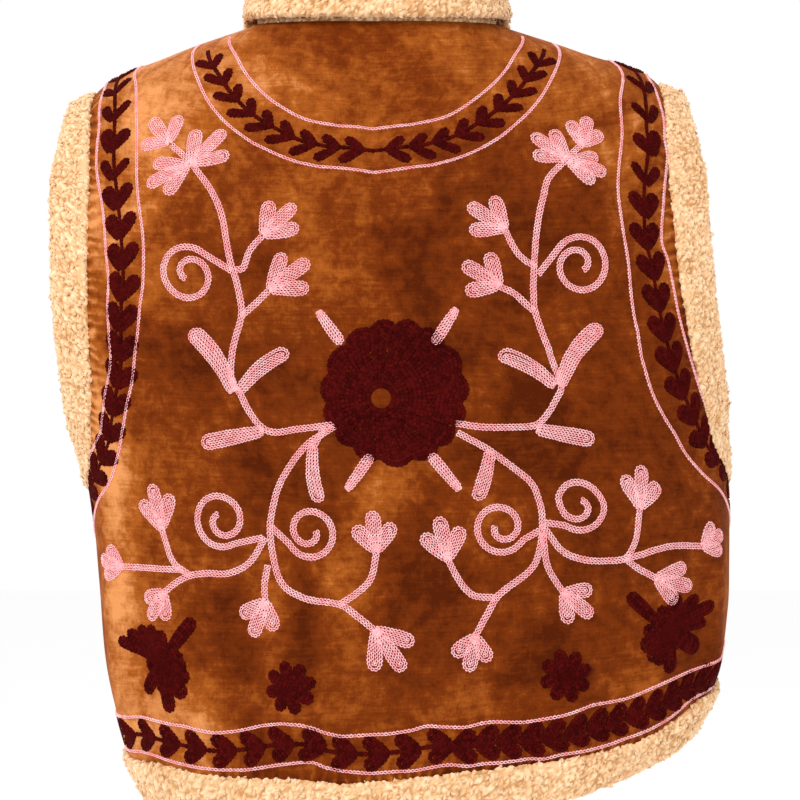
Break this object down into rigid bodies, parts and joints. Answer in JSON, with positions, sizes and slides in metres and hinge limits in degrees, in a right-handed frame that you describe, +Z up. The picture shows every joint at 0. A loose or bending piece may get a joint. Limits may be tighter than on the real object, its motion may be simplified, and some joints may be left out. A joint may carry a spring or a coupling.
{
  "type": "embroidered velvet waistcoat with pile collar and edge bands",
  "caption": "Sleeveless velvet waistcoat with scrolling floral chain-stitch embroidery, a turned-down curly pile collar and wide pile bands on every edge, in its hollow worn form.",
  "frame": {"origin": "middle of the neck opening, level with the neck points of the shoulder seams, where the garment is held when worn", "axes": "+Z up, +Y towards the back, +X towards the garment's left side, so the fronts face -Y"},
  "size_m": [0.5642, 0.278, 0.6916],
  "materials": {
    "velvet": "rust-brown cotton velvet, short nap with golden patches",
    "pile": "curly cream-beige pile",
    "thread_pink": "pink cotton chain stitch",
    "thread_red": "dark red cotton chain stitch"
  },
  "bodies": {
    "root": {"back": "velvet", "front_left": "velvet", "front_right": "velvet", "collar": "pile", "armhole_band_left": "pile", "armhole_band_right": "pile", "hem_band": "pile", "front_band_left": "pile", "front_band_right": "pile"}
  },
  "joints": []
}
